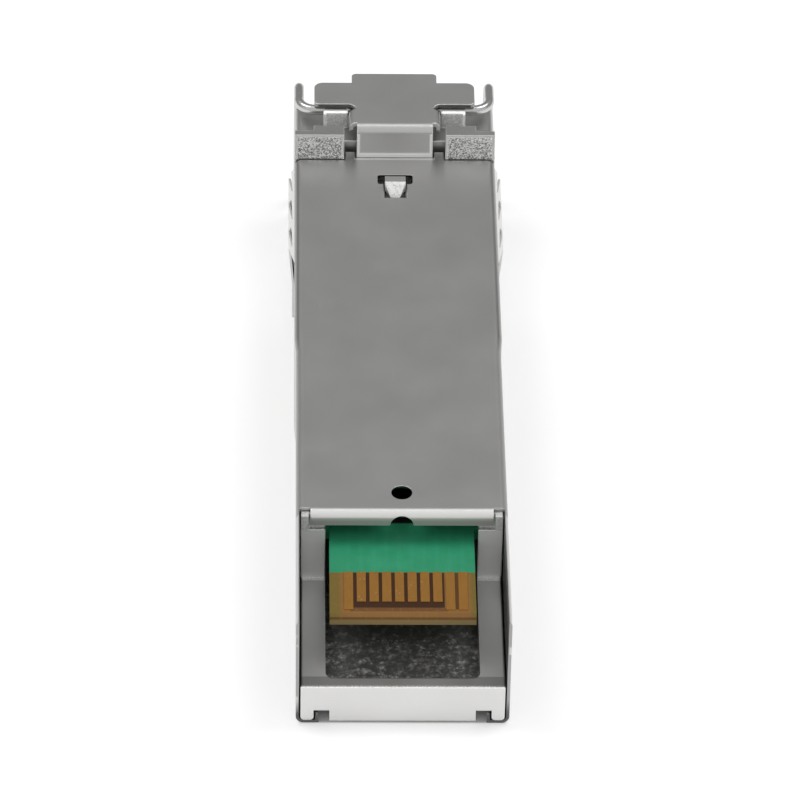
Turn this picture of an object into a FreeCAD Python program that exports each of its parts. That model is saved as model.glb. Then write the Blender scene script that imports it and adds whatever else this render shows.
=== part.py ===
# Small form-factor pluggable optical transceiver with a wire bail, lying on its label face.
# Millimetres. X runs across the module, +Y points to the bail end, +Z up from the label face.
# Y = 0 is the locking shoulder of the latch post, from which the module's lengths are given.
import FreeCAD
import Part
import Sketcher
import math
import os

SIZES = {
    # Shell: one folded sheet that wraps the latch side and both flanks
    "sheet": 0.2,
    "body_height": 8.5,
    "rear_width": 13.4,
    "nose_width": 13.6,
    "rear_end": 45.0,
    "bay_length": 10.4,
    "flare_behind": 16.5,
    "flare_length": 1.5,
    "shell_bend": 0.5,
    "stop_ahead": 2.5,
    "front_gap": 0.1,
    "hem_width": 1.42,
    "hem_rise": 0.6,
    "lip_width": 11.6,
    "lip_drop": 1.05,
    "lip_notch_radius": 0.74,
    "vent_radius": 0.67,
    "vent_from_lip": 2.0,
    "window_width": 2.38,
    "window_ahead": 0.75,
    "window_length": 1.03,
    "window_corner": 0.2,
    "throat_width": 1.6,
    "throat_length": 1.53,
    "hold_ahead": 0.93,
    "hold_room": 0.1,
    "notch_ahead": 0.25,
    "notch_room": 0.12,
    # Housing: one zinc casting with the tray, the tub, the optical ports and the latch seats
    "shell_fit": 0.1,
    "groove_margin": 0.69,
    "groove_width": 0.99,
    "groove_depth": 0.7,
    "relief_height": 1.1,
    "relief_length": 0.5,
    "foot_corner": 0.25,
    "rim_height": 3.1,
    "tray_floor": 1.0,
    "rim_ledge": 0.83,
    "shell_setback": 0.1,
    "rim_corner": 0.1,
    "lead_rise": 0.25,
    "lead_length": 1.2,
    "lip_room": 0.1,
    "lip_ledge": 0.35,
    "tray_corner": 0.5,
    "jamb_length": 1.15,
    "head_length": 5.1,
    "head_gap": 0.61,
    "head_corner": 0.5,
    "block_drop": 0.41,
    "block_gap": 6.88,
    "block_width": 13.56,
    "block_step_width": 11.03,
    "block_length": 1.08,
    "block_step_length": 0.5,
    "lug_inset": 3.19,
    "lug_width": 1.64,
    "lug_behind": 0.73,
    "lug_ahead": 0.95,
    "lug_gap": 0.1,
    "lug_corner": 0.35,
    # Optical ports
    "port_pitch": 6.25,
    "axis_height": 4.2,
    "port_side": 4.7,
    "port_depth": 9.9,
    "port_roof": 0.4,
    "key_width": 2.9,
    "key_floor": 0.5,
    "bulkhead": 1.1,
    "optics_bay_width": 11.5,
    "optics_bay_length": 9.1,
    # Latch lever: a folded strip that rocks on two ears
    "lever_sheet": 0.3,
    "lever_fit": 0.15,
    "lever_bend": 0.55,
    "arm_behind": 1.6,
    "arm_width": 4.4,
    "tail_ahead": 1.0,
    "web_width": 5.15,
    "web_gap": 0.15,
    "lever_height": 10.94,
    "neck_width": 6.2,
    "neck_bend": 0.46,
    "neck_flange": 1.0,
    "flange_chamfer": 0.4,
    "wing_width": 10.92,
    "wing_start": 2.38,
    "wing_length": 2.46,
    "wing_corner": 0.6,
    "wing_heel": 0.35,
    "wing_fillet": 0.55,
    "tab_width": 5.8,
    "tab_length": 1.04,
    "tab_corner": 0.3,
    "ear_span": 8.2,
    "ear_diameter": 0.4,
    "ear_room": 0.1,
    "rocker_setback": 0.35,
    "arm_room": 0.3,
    "web_room": 0.6,
    "post_width": 1.4,
    "post_rise": 0.45,
    "post_flat": 0.65,
    "post_ramp": 0.85,
    "post_toe": 0.58,
    # Leaf spring under the lever's arm
    "leaf": 0.15,
    "leaf_width": 2.4,
    "leaf_foot": 1.2,
    "leaf_gap": 0.03,
    # Bail: bent round wire
    "wire": 0.7,
    "pivot_ahead": 3.44,
    "pivot_drop": 0.82,
    "bail_width": 13.0,
    "bail_ahead": 1.4,
    "bail_floor": 0.45,
    "bail_bend": 0.8,
    "bail_corner": 1.1,
    "crank": 0.6,
    "crank_bend": 0.45,
    "crank_inset": 0.2,
    "crank_end": 0.5,
    "wire_fit": 0.04,
    # Ground springs on the flanks of the nose
    "spring_sheet": 0.15,
    "spring_root": 1.2,
    "spring_foot": 4.0,
    "spring_crest": 7.1,
    "spring_top": 7.85,
    "spring_lip": 0.27,
    "spring_reach": 0.41,
    "spring_length": 10.6,
    "spring_slant": 2.6,
    "slit_floor": 3.0,
    "slit_width": 0.25,
    "slit_mouth": 0.35,
    "slit_slant": 2.35,
    "slit_top": 7.6,
    "slit_tip": 0.07,
    "slit_pitch": 3.04,
    # Circuit board and its edge contacts
    "board": 1.0,
    "board_depth": 2.25,
    "tongue_width": 9.2,
    "tongue_gap": 0.25,
    "tongue_setback": 3.2,
    "board_width": 10.8,
    "board_gap": 0.1,
    "board_front": 13.0,
    "board_bevel": 0.2,
    "contact": 0.05,
    "contact_pitch": 0.8,
    "contact_width": 0.58,
    "contact_shift": 0.2,
    "contact_start": 4.07,
    "contact_margin": 1.24,
    "contact_long_margin": 0.49,
    # Optical subassemblies
    "nose_diameter": 2.9,
    "nose_fit": 0.05,
    "nose_length": 4.4,
    "ferrule_bore": 1.25,
    "sleeve_diameter": 1.6,
    "sleeve_fit": 0.02,
    "sleeve_slit": 0.2,
    "sleeve_inset": 0.4,
    "sleeve_length": 4.2,
    "beam_bore": 0.5,
    "collar_diameter": 4.9,
    "collar_length": 0.9,
    "neck_diameter": 4.0,
    "neck_length": 1.7,
    "can_diameter": 4.2,
    "can_length": 2.4,
    "header_diameter": 4.7,
    "header_length": 1.2,
    "lead_side": 0.4,
    "lead_circle": 1.27,
    "lead_length": 0.5,
    "flex": 0.15,
    "flex_width": 3.2,
    "flex_overlap": 2.5,
    "flex_bend": 0.5,
    "clamp_length": 0.8,
    "clamp_height": 7.2,
    "clamp_fit": 0.05,
    # Chips and small components on the board
    "driver_side": 4.0,
    "driver_height": 0.85,
    "amplifier_side": 3.0,
    "amplifier_height": 0.8,
    "controller_side": 5.0,
    "controller_height": 0.9,
    "chip_behind": 4.6,
    "chip_offset": 2.5,
    "tantalum_length": 3.2,
    "tantalum_width": 1.6,
    "tantalum_height": 1.5,
    "bead_length": 1.6,
    "bead_width": 0.8,
    "bead_height": 0.8,
    "small_length": 1.0,
    "small_width": 0.5,
    "capacitor_height": 0.5,
    "resistor_height": 0.35,
    "small_pitch": 1.5,
    "row_spacing": 2.2,
}

doc = FreeCAD.newDocument("sfp_transceiver")
sheet = doc.addObject("Spreadsheet::Sheet", "Sizes")
for row, (alias, number) in enumerate(SIZES.items(), start=1):
    sheet.set(f"A{row}", alias)
    sheet.set(f"B{row}", str(number))
    sheet.setAlias(f"B{row}", alias)
doc.recompute()


class Size:
    """A length together with the spreadsheet expression that gives it."""

    def __init__(self, text, value):
        self.text = text
        self.value = float(value)

    def join(self, sign, other, value):
        return Size(f"({self.text} {sign} {other.text})", value)

    def __add__(self, other):
        other = as_size(other)
        return self.join("+", other, self.value + other.value)

    def __sub__(self, other):
        other = as_size(other)
        return self.join("-", other, self.value - other.value)

    def __mul__(self, other):
        other = as_size(other)
        return self.join("*", other, self.value * other.value)

    def __truediv__(self, other):
        other = as_size(other)
        return self.join("/", other, self.value / other.value)

    def __neg__(self):
        return Size(f"(-{self.text})", -self.value)


def as_size(number):
    return number if isinstance(number, Size) else Size(str(number), number)


class Sizes:
    """Gives each spreadsheet cell as a Size, by its alias."""

    def __getattr__(self, alias):
        return Size(f"Sizes.{alias}", sheet.get(alias))


s = Sizes()
ZERO = as_size(0)


class Circle:
    """A round loop of a sketch."""

    def __init__(self, across, along, radius):
        self.across = across
        self.along = along
        self.radius = radius


def bind(thing, path, size):
    thing.setExpression(path, size.text)


def new_body(name):
    body = doc.addObject("PartDesign::Body", name)
    body.Label = name
    return body


def step(corner, towards, radius):
    """Moves from a square corner by radius along the straight side that leads to another corner."""
    across = towards[0].value - corner[0].value
    along = towards[1].value - corner[1].value
    if abs(across) > abs(along):
        return (corner[0] + radius if across > 0 else corner[0] - radius, corner[1])
    return (corner[0], corner[1] + radius if along > 0 else corner[1] - radius)


def draw_circle(sketch, loop):
    centre = FreeCAD.Vector(loop.across.value, loop.along.value, 0)
    edge = sketch.addGeometry(Part.Circle(centre, FreeCAD.Vector(0, 0, 1), loop.radius.value))
    limits = [("DistanceX", (-1, 1, edge, 3), loop.across), ("DistanceY", (-1, 1, edge, 3), loop.along)]
    limits.append(("Radius", (edge,), loop.radius))
    constrain(sketch, limits)


def constrain(sketch, limits):
    """Adds constraints of a kind, on some points, and binds each value to its size."""
    first = sketch.ConstraintCount
    sketch.addConstraint([Sketcher.Constraint(kind, *points, size.value) for kind, points, size in limits])
    for index, (kind, points, size) in enumerate(limits, start=first):
        bind(sketch, f"Constraints[{index}]", size)


def draw_polygon(sketch, corners):
    """Draws a closed outline. A corner with a third value is rounded by that radius."""
    stations = []
    for index, corner in enumerate(corners):
        if len(corner) == 2:
            stations.append((corner, None))
            continue
        following = corners[(index + 1) % len(corners)]
        stations.append((step(corner, corners[index - 1], corner[2]), corner))
        stations.append((step(corner, following, corner[2]), None))
    first = sketch.GeometryCount
    spots = [FreeCAD.Vector(place[0].value, place[1].value, 0) for place, arc in stations]
    starts = []
    for index, (place, arc) in enumerate(stations):
        begin = spots[index]
        finish = spots[(index + 1) % len(spots)]
        if arc is None:
            sketch.addGeometry(Part.LineSegment(begin, finish))
            starts.append(1)
            continue
        corner = FreeCAD.Vector(arc[0].value, arc[1].value, 0)
        centre = begin + finish - corner
        turns_left = (corner - begin).cross(finish - corner).z > 0
        low, high = (begin, finish) if turns_left else (finish, begin)
        circle = Part.Circle(centre, FreeCAD.Vector(0, 0, 1), arc[2].value)
        angles = [math.atan2(spot.y - centre.y, spot.x - centre.x) for spot in (low, high)]
        sketch.addGeometry(Part.ArcOfCircle(circle, angles[0], angles[1]))
        starts.append(1 if turns_left else 2)
    joints = []
    limits = []
    for index, (place, arc) in enumerate(stations):
        edge = first + index
        following = (index + 1) % len(stations)
        ends = (edge, 3 - starts[index], first + following, starts[following])
        joints.append(Sketcher.Constraint("Coincident", *ends))
        limits.append(("DistanceX", (-1, 1, edge, starts[index]), place[0]))
        limits.append(("DistanceY", (-1, 1, edge, starts[index]), place[1]))
        if arc is not None:
            limits.append(("Radius", (edge,), arc[2]))
    sketch.addConstraint(joints)
    constrain(sketch, limits)


def draw(body, plane, level, loops):
    """Makes a sketch parallel to an origin plane of its body, at a level along the plane's axis."""
    sketch = body.newObject("Sketcher::SketchObject", f"{body.Label}_outline")
    support = [feature for feature in body.Origin.OriginFeatures if feature.Role == f"{plane}_Plane"]
    sketch.AttachmentSupport = [(support[0], "")]
    sketch.MapMode = "FlatFace"
    bind(sketch, "AttachmentOffset.Base.z", -level if plane == "XZ" else level)
    for loop in loops:
        if isinstance(loop, Circle):
            draw_circle(sketch, loop)
        else:
            draw_polygon(sketch, loop)
    return sketch


def settle(body, volume_before, grows):
    """Recomputes and makes sure that the last feature added or took material."""
    doc.recompute()
    change = body.Shape.Volume - volume_before
    if (change > 0) != grows or change == 0:
        raise ValueError(f"a feature of {body.Label} has no effect: {body.Tip.Label}")


def volume_of(body):
    return 0.0 if body.Tip is None or body.Shape.isNull() else body.Shape.Volume


def prism(body, kind, plane, low, high, *loops):
    """Pads or pockets loops between two levels along the axis that is square to the plane."""
    before = volume_of(body)
    sketch = draw(body, plane, low, loops)
    feature = body.newObject(f"PartDesign::{kind}", f"{body.Label}_{kind.lower()}")
    feature.Profile = sketch
    bind(feature, "Length", high - low)
    feature.Reversed = (kind == "Pad") == (plane == "XZ")
    settle(body, before, kind == "Pad")
    return feature


def pad(body, plane, low, high, *loops):
    return prism(body, "Pad", plane, low, high, *loops)


def pocket(body, plane, low, high, *loops):
    return prism(body, "Pocket", plane, low, high, *loops)


def on_both_flanks(make, body, low, high, *loops):
    """Repeats a prism along X on the right and on the left of the module."""
    make(body, "YZ", low, high, *loops)
    make(body, "YZ", -high, -low, *loops)


def rectangle(left, right, rear, front, *corner):
    return [(left, rear, *corner), (right, rear, *corner), (right, front, *corner), (left, front, *corner)]


def flipped(outline):
    """The same outline on the other flank."""
    return [(-point[0], *point[1:]) for point in reversed(outline)]


def turned(name, outline):
    """Revolves an outline of radius against Y about the Y axis."""
    body = new_body(name)
    sketch = draw(body, "XY", ZERO, [outline])
    feature = body.newObject("PartDesign::Revolution", f"{name}_turning")
    feature.Profile = sketch
    feature.ReferenceAxis = (sketch, ["V_Axis"])
    feature.Angle = 360.0
    settle(body, 0.0, True)
    return body


def place(thing, across, along, up):
    bind(thing, "Placement.Base.x", across)
    bind(thing, "Placement.Base.y", along)
    bind(thing, "Placement.Base.z", up)
    doc.recompute()


def block(name, centre_across, centre_along, floor, size_across, size_along, height):
    """A small rectangular piece, placed by the centre of its footprint."""
    piece = doc.addObject("Part::Box", name)
    piece.Label = name
    bind(piece, "Length", size_across)
    bind(piece, "Width", size_along)
    bind(piece, "Height", height)
    place(piece, centre_across - size_across / 2, centre_along - size_along / 2, floor)
    return piece


def group(name, pieces):
    """Identical small pieces kept as separate solids of one node."""
    compound = doc.addObject("Part::Compound", name)
    compound.Label = name
    compound.Links = pieces
    doc.recompute()
    return compound


# Levels and stations that several pieces share
rear = -s.rear_end
shell_rear = rear + s.shell_setback
bay_front = rear + s.bay_length
lip_inside = bay_front + s.sheet
lip_half = s.lip_width / 2
lip_floor = s.body_height - s.lip_drop
stop = s.stop_ahead
shell_front = stop - s.front_gap
inner_top = s.body_height - s.sheet
hem_leg = s.rear_width / 2 - s.hem_width
groove_inside = hem_leg - s.groove_margin
groove_outside = groove_inside + s.groove_width
housing_half = s.rear_width / 2 - s.sheet - s.shell_fit
housing_top = inner_top - s.shell_fit
head_front = stop + s.head_length
jamb_front = bay_front + s.jamb_length
bay_half = s.tongue_width / 2 + s.tongue_gap
seat_half = s.board_width / 2 + s.board_gap
board_top = s.body_height - s.board_depth
board_floor = board_top - s.board
board_rear = rear + s.tongue_setback
board_shoulder = jamb_front + s.board_gap
board_front = -s.board_front
port_back = head_front - s.port_depth
optics_front = port_back - s.bulkhead
optics_rear = optics_front - s.optics_bay_length
port_top = s.axis_height + s.port_side / 2
axis_across = s.port_pitch / 2
arm_top = inner_top - s.lever_fit
arm_floor = arm_top - s.lever_sheet
gap_half = s.block_gap / 2
web_half = s.web_width / 2
notch_rear = shell_front + s.notch_ahead
web_rear = notch_rear + s.web_gap
web_front = web_rear + s.lever_sheet
plate_floor = s.lever_height - s.lever_sheet
rocker_along = web_front - s.rocker_setback
rocker_height = arm_floor + s.lever_sheet / 2
lever_pocket_floor = port_top + s.port_roof
pivot_along = stop + s.pivot_ahead
pivot_height = s.lever_height - s.pivot_drop
head_top = pivot_height - s.wire / 2 - s.head_gap
block_top = s.lever_height - s.block_drop
wing_rear = web_front + s.wing_start
wing_front = wing_rear + s.wing_length
tab_front = wing_front + s.tab_length
lug_top = plate_floor - s.lug_gap


def shell_section(half_width):
    """Section of the folded sheet: roof, two skirts, and hems that turn up into the grooves."""
    bend = s.shell_bend
    inner_bend = bend - s.sheet
    inside = half_width - s.sheet
    leg_outside = hem_leg + s.sheet
    outer = [
        (-hem_leg, s.hem_rise), (-hem_leg, ZERO), (-half_width, ZERO, bend),
        (-half_width, s.body_height, bend), (half_width, s.body_height, bend),
        (half_width, ZERO, bend), (hem_leg, ZERO), (hem_leg, s.hem_rise),
    ]
    inner = [
        (leg_outside, s.hem_rise), (leg_outside, s.sheet), (inside, s.sheet, inner_bend),
        (inside, inner_top, inner_bend), (-inside, inner_top, inner_bend),
        (-inside, s.sheet, inner_bend), (-leg_outside, s.sheet), (-leg_outside, s.hem_rise),
    ]
    return outer + inner


def taper(body, low, low_section, high, high_section):
    """Joins two sections of the sheet by straight walls between two stations along Y."""
    before = volume_of(body)
    loft = body.newObject("PartDesign::AdditiveLoft", f"{body.Label}_taper")
    loft.Profile = draw(body, "XZ", low, [low_section])
    loft.Sections = [draw(body, "XZ", high, [high_section])]
    loft.Ruled = True
    settle(body, before, True)


def make_shell():
    body = new_body("shell")
    rear_section = shell_section(s.rear_width / 2)
    nose_section = shell_section(s.nose_width / 2)
    flare_front = -s.flare_behind
    flare_rear = flare_front - s.flare_length
    pad(body, "XZ", shell_rear, flare_rear, rear_section)
    taper(body, flare_rear, rear_section, flare_front, nose_section)
    pad(body, "XZ", flare_front, shell_front, nose_section)
    # The roof stops at the connector bay and turns down there into a notched lip
    rear_inside = s.rear_width / 2 - s.sheet
    lip_root = bay_front + s.shell_bend
    lip_front = lip_root + s.sheet
    roof_floor = inner_top - s.shell_bend
    bay = rectangle(-rear_inside, rear_inside, shell_rear, lip_root)
    pocket(body, "XY", roof_floor, s.body_height, bay)
    lip = [
        (lip_front, s.body_height), (bay_front, s.body_height, s.shell_bend), (bay_front, lip_floor),
        (lip_inside, lip_floor), (lip_inside, inner_top, s.shell_bend - s.sheet), (lip_front, inner_top),
    ]
    pad(body, "YZ", -lip_half, lip_half, lip)
    pocket(body, "XZ", bay_front, lip_inside, Circle(ZERO, lip_floor, s.lip_notch_radius))
    vent_along = bay_front + s.vent_from_lip
    pocket(body, "XY", inner_top, s.body_height, Circle(ZERO, vent_along, s.vent_radius))
    # The T-shaped window lets the latch post through the roof
    window_half = s.window_width / 2
    throat_half = s.throat_width / 2
    window_front = s.window_ahead
    window_rear = window_front - s.window_length
    throat_rear = window_rear - s.throat_length
    window = [
        (throat_half, throat_rear), (throat_half, window_rear), (window_half, window_rear, s.window_corner),
        (window_half, window_front, s.window_corner),
    ]
    pocket(body, "XY", inner_top, s.body_height, window + flipped(window))
    # The front edge runs on between the stop blocks, over the lever's ears, with a notch for its web
    hold_half = gap_half - s.hold_room
    hold_front = shell_front + s.hold_ahead
    notch_half = web_half + s.notch_room
    hold = [
        (hold_half, shell_front), (hold_half, hold_front), (notch_half, hold_front), (notch_half, notch_rear),
    ]
    pad(body, "XY", inner_top, s.body_height, hold + flipped(hold))
    return body


def casting_section(top):
    """Section of the casting: label face, two hem grooves and the feet that the hems wrap."""
    foot = s.sheet + s.shell_fit
    corner = s.foot_corner
    right = [
        (groove_inside, ZERO), (groove_inside, s.groove_depth), (groove_outside, s.groove_depth),
        (groove_outside, foot, corner), (housing_half, foot, corner), (housing_half, top, s.rim_corner),
    ]
    return flipped(right) + right


def make_housing():
    body = new_body("housing")
    pad(body, "XZ", rear, bay_front, casting_section(s.rim_height))
    pad(body, "XZ", bay_front, stop, casting_section(housing_top))
    # The label face rises to the rear edge, and the jambs of the bay take in the shell's lip
    lead = [(rear, ZERO), (rear + s.lead_length, ZERO), (rear, s.lead_rise)]
    pocket(body, "YZ", -housing_half, housing_half, lead)
    # The ends of the grooves are relieved inside the end wall, where the hems end
    relief = [
        (groove_inside, ZERO), (groove_outside, ZERO), (groove_outside, s.relief_height),
        (groove_inside, s.relief_height),
    ]
    pocket(body, "XZ", rear, rear + s.relief_length, relief, flipped(relief))
    recess_half = lip_half + s.lip_room
    lip_recess = rectangle(-recess_half, recess_half, bay_front, lip_inside + s.shell_fit)
    pocket(body, "XY", lip_floor - s.lip_ledge, housing_top, lip_recess)
    head_half = s.nose_width / 2
    head = rectangle(-head_half, head_half, ZERO, head_top, s.head_corner)
    pad(body, "XZ", stop, head_front, head)
    # Stop blocks, stepped back where the arms of the bail pass
    step_half = s.block_step_width / 2
    edge_half = s.block_width / 2
    block_front = stop + s.block_length
    step_front = stop + s.block_step_length
    stop_block = [
        (gap_half, stop), (edge_half, stop), (edge_half, step_front),
        (step_half, step_front), (step_half, block_front), (gap_half, block_front),
    ]
    pad(body, "XY", head_top - s.head_corner, block_top, stop_block, flipped(stop_block))
    # Lugs with slots, open upwards, that carry the bail
    lug_low = head_top - s.head_corner
    lug_rear = pivot_along - s.lug_behind
    lug_front = pivot_along + s.lug_ahead
    lug = [
        (lug_rear, lug_low), (lug_front, lug_low), (lug_front, lug_top, s.lug_corner),
        (lug_rear, lug_top, s.lug_corner),
    ]
    lug_outside = s.lug_inset + s.lug_width
    on_both_flanks(pad, body, s.lug_inset, lug_outside, lug)
    slot_half = s.wire / 2 + s.wire_fit
    slot = rectangle(pivot_along - slot_half, pivot_along + slot_half, pivot_height, lug_top)
    on_both_flanks(pocket, body, s.lug_inset, lug_outside, slot)
    on_both_flanks(pocket, body, s.lug_inset, lug_outside, Circle(pivot_along, pivot_height, slot_half))
    # Tray, board seat and optics bay, open to the latch side under the shell
    tray_wall = rear + s.rim_ledge
    tray = [
        (-bay_half, tray_wall, s.tray_corner), (bay_half, tray_wall, s.tray_corner),
        (bay_half, optics_rear), (-bay_half, optics_rear),
    ]
    pocket(body, "XY", s.tray_floor, housing_top, tray)
    seat = rectangle(-seat_half, seat_half, jamb_front, optics_rear)
    pocket(body, "XY", board_floor, housing_top, seat)
    optics_half = s.optics_bay_width / 2
    optics_bay = rectangle(-optics_half, optics_half, optics_rear, optics_front)
    pocket(body, "XY", s.tray_floor, housing_top, optics_bay)
    # Optical ports with the channel for the plug's latch, and bores for the optical noses
    ports = []
    bores = []
    for side in (-1, 1):
        centre = axis_across * side
        half = s.port_side / 2
        key_half = s.key_width / 2
        port_floor = s.axis_height - half
        ports.append([
            (centre - half, port_floor), (centre - key_half, port_floor), (centre - key_half, s.key_floor),
            (centre + key_half, s.key_floor), (centre + key_half, port_floor), (centre + half, port_floor),
            (centre + half, port_top), (centre - half, port_top),
        ])
        bores.append(Circle(centre, s.axis_height, s.nose_diameter / 2 + s.nose_fit))
    pocket(body, "XZ", port_back, head_front, *ports)
    pocket(body, "XZ", optics_front, port_back, *bores)
    # Well for the lever's arm and web, and the undercut that holds its ears
    arm_half = s.arm_width / 2 + s.arm_room
    arm_rear = -s.arm_behind - s.arm_room
    well_front = web_front + s.web_room
    arm_well = rectangle(-arm_half, arm_half, arm_rear, well_front)
    pocket(body, "XY", lever_pocket_floor, plate_floor, arm_well)
    ear_reach = s.ear_diameter / 2 + s.ear_room
    ear_low = rocker_height - ear_reach
    web_well = rectangle(-gap_half, gap_half, stop, well_front)
    pocket(body, "XY", ear_low, plate_floor, web_well)
    ear_half = s.ear_span / 2 + s.ear_room
    ear_seat = rectangle(-ear_half, ear_half, rocker_along - ear_reach, rocker_along + ear_reach)
    pocket(body, "XY", ear_low, rocker_height + ear_reach, ear_seat)
    return body


def make_lever():
    body = new_body("latch_lever")
    bend = s.lever_bend
    inner_bend = bend - s.lever_sheet
    arm_rear = -s.arm_behind
    arm_half = s.arm_width / 2
    post_half = s.post_width / 2
    neck_half = s.neck_width / 2
    flange_inside = neck_half - s.lever_sheet
    # Arm, web and neck as one folded strip
    strip = [
        (arm_rear, arm_floor), (web_front, arm_floor, bend), (web_front, plate_floor, inner_bend),
        (wing_rear, plate_floor), (wing_rear, s.lever_height), (web_rear, s.lever_height, bend),
        (web_rear, arm_top, inner_bend), (arm_rear, arm_top),
    ]
    pad(body, "YZ", -web_half, web_half, strip)
    ear_radius = s.ear_diameter / 2
    trim_front = rocker_along - ear_radius
    outside = [
        (post_half, arm_rear), (web_half, arm_rear), (web_half, trim_front),
        (arm_half, trim_front), (arm_half, s.tail_ahead), (post_half, s.tail_ahead),
    ]
    pocket(body, "XY", arm_floor, arm_top, outside, flipped(outside))
    # Round ears that rock under the stop blocks
    on_both_flanks(pad, body, web_half, s.ear_span / 2, Circle(rocker_along, rocker_height, ear_radius))
    # Neck flanges, wings and finger tab
    neck_rear = web_front + inner_bend
    flange_floor = s.lever_height - s.neck_flange
    flange_bend = s.neck_bend
    flange_inner_bend = flange_bend - s.lever_sheet
    channel = [
        (-neck_half, flange_floor), (-flange_inside, flange_floor),
        (-flange_inside, plate_floor, flange_inner_bend), (flange_inside, plate_floor, flange_inner_bend),
        (flange_inside, flange_floor), (neck_half, flange_floor),
        (neck_half, s.lever_height, flange_bend), (-neck_half, s.lever_height, flange_bend),
    ]
    flange_front = wing_rear - s.wing_fillet
    pad(body, "XZ", neck_rear, flange_front, channel)
    flange_corner = [
        (neck_rear, flange_floor), (neck_rear + s.flange_chamfer, flange_floor),
        (neck_rear, flange_floor + s.flange_chamfer),
    ]
    on_both_flanks(pocket, body, flange_inside, neck_half, flange_corner)
    neck_flat = neck_half - flange_bend
    wing_half = s.wing_width / 2
    tab_half = s.tab_width / 2
    right_edge = [
        (neck_flat, neck_rear), (neck_flat, wing_rear, s.wing_fillet), (wing_half, wing_rear, s.wing_heel),
        (wing_half, wing_front, s.wing_corner), (tab_half, wing_front), (tab_half, tab_front, s.tab_corner),
    ]
    pad(body, "XY", plate_floor, s.lever_height, right_edge + flipped(right_edge))
    # Latch post: square shoulder to the front, ramp to the rear that narrows to its toe
    toe_half = s.post_toe / 2
    post_top = s.body_height + s.post_rise
    ramp_top = -s.post_flat
    ramp_toe = ramp_top - s.post_ramp
    post = [(ramp_toe, arm_top), (ZERO, arm_top), (ZERO, post_top), (ramp_top, post_top)]
    pad(body, "YZ", -post_half, post_half, post)
    flank = [(post_half, ramp_top), (post_half, ramp_toe), (toe_half, ramp_toe)]
    pocket(body, "XY", arm_top, post_top, flank, flipped(flank))
    return body


def make_lever_spring():
    """A leaf that stands on the floor of the lever's well and presses the arm up."""
    body = new_body("lever_spring")
    floor = lever_pocket_floor
    contact = arm_floor - s.leaf_gap
    foot_rear = -s.arm_behind
    foot_front = foot_rear + s.leaf_foot
    toe = rocker_along - s.ear_diameter
    leaf = [
        (foot_rear, floor), (foot_front, floor), (toe, contact - s.leaf), (toe, contact),
        (foot_front, floor + s.leaf), (foot_rear, floor + s.leaf),
    ]
    pad(body, "YZ", -s.leaf_width / 2, s.leaf_width / 2, leaf)
    return body


def rod(begin, finish, diameter):
    return Part.makeCylinder(diameter / 2, begin.distanceToPoint(finish), begin, finish - begin)


def bent_wire(points, bends, diameter):
    """Joins straight rods by elbows that bend the wire at the inner points."""
    pieces = []
    begin = points[0]
    for index in range(1, len(points) - 1):
        corner = points[index]
        towards_begin = (points[index - 1] - corner).normalize()
        towards_end = (points[index + 1] - corner).normalize()
        half_turn = (math.pi - towards_begin.getAngle(towards_end)) / 2
        reach = bends[index - 1] * math.tan(half_turn)
        arc_begin = corner + towards_begin * reach
        arc_end = corner + towards_end * reach
        middle_line = (towards_begin + towards_end).normalize()
        centre = corner + middle_line * (bends[index - 1] / math.cos(half_turn))
        pieces.append(rod(begin, arc_begin, diameter))
        section = Part.Face(Part.Wire(Part.makeCircle(diameter / 2, arc_begin, towards_begin)))
        axis = towards_end.cross(towards_begin)
        pieces.append(section.revolve(centre, axis, math.degrees(half_turn * 2)))
        begin = arc_end
    pieces.append(rod(begin, points[-1], diameter))
    return pieces[0].multiFuse(pieces[1:]).removeSplitter()


def make_bail():
    """The wire hangs in the lugs; its cranked ends lie under the lever and lift it as the bail swings."""
    half = s.bail_width / 2
    front = head_front + s.bail_ahead
    crank_start = s.lug_inset - s.crank_inset
    crank_finish = crank_start - s.crank
    crank_along = pivot_along + s.crank
    right = [
        (s.crank_end, crank_along, pivot_height), (crank_finish, crank_along, pivot_height),
        (crank_start, pivot_along, pivot_height), (half, pivot_along, pivot_height),
        (half, front, pivot_height), (half, front, s.bail_floor),
    ]
    points = [FreeCAD.Vector(*(size.value for size in point)) for point in right + flipped(right)]
    corner_bends = [s.crank_bend.value] * 2 + [s.bail_corner.value] + [s.bail_bend.value] * 2
    bail = doc.addObject("Part::Feature", "bail")
    bail.Label = "bail"
    bail.Shape = bent_wire(points, corner_bends + corner_bends[::-1], s.wire.value)
    bail.Placement = FreeCAD.Placement()
    return bail


def make_ground_spring(name, side):
    """A spring strip that bulges from one flank of the nose, with slanted slits between its fingers."""
    body = new_body(name)
    wall = s.nose_width / 2
    skin = wall + s.spring_sheet
    crest = wall + s.spring_reach
    section = [
        (wall, s.spring_root), (skin, s.spring_root), (skin, s.spring_foot), (crest, s.spring_crest),
        (wall, s.spring_top), (wall, s.spring_top - s.spring_lip),
        (crest - s.spring_sheet, s.spring_crest), (wall, s.spring_foot),
    ]
    strip_rear = shell_front - s.spring_length
    pad(body, "XZ", strip_rear, shell_front, section if side > 0 else flipped(section))
    low = wall if side > 0 else -crest
    high = crest if side > 0 else -wall
    finger_rear = strip_rear + s.spring_slant
    slits = [[
        (strip_rear, s.spring_root), (finger_rear, s.spring_root), (finger_rear, s.spring_crest),
        (strip_rear, s.spring_top),
    ]]
    for count in range(3):
        front = shell_front - s.slit_pitch * count
        slit_rear = front - s.slit_width
        inner_end = front - s.slit_slant
        slits.append([
            (slit_rear, s.slit_floor), (front, s.slit_floor), (front, s.spring_crest + s.slit_mouth),
            (inner_end, s.slit_top), (inner_end, s.slit_top - s.slit_tip), (slit_rear, s.spring_crest),
        ])
    pocket(body, "YZ", low, high, *slits)
    return body


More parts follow.
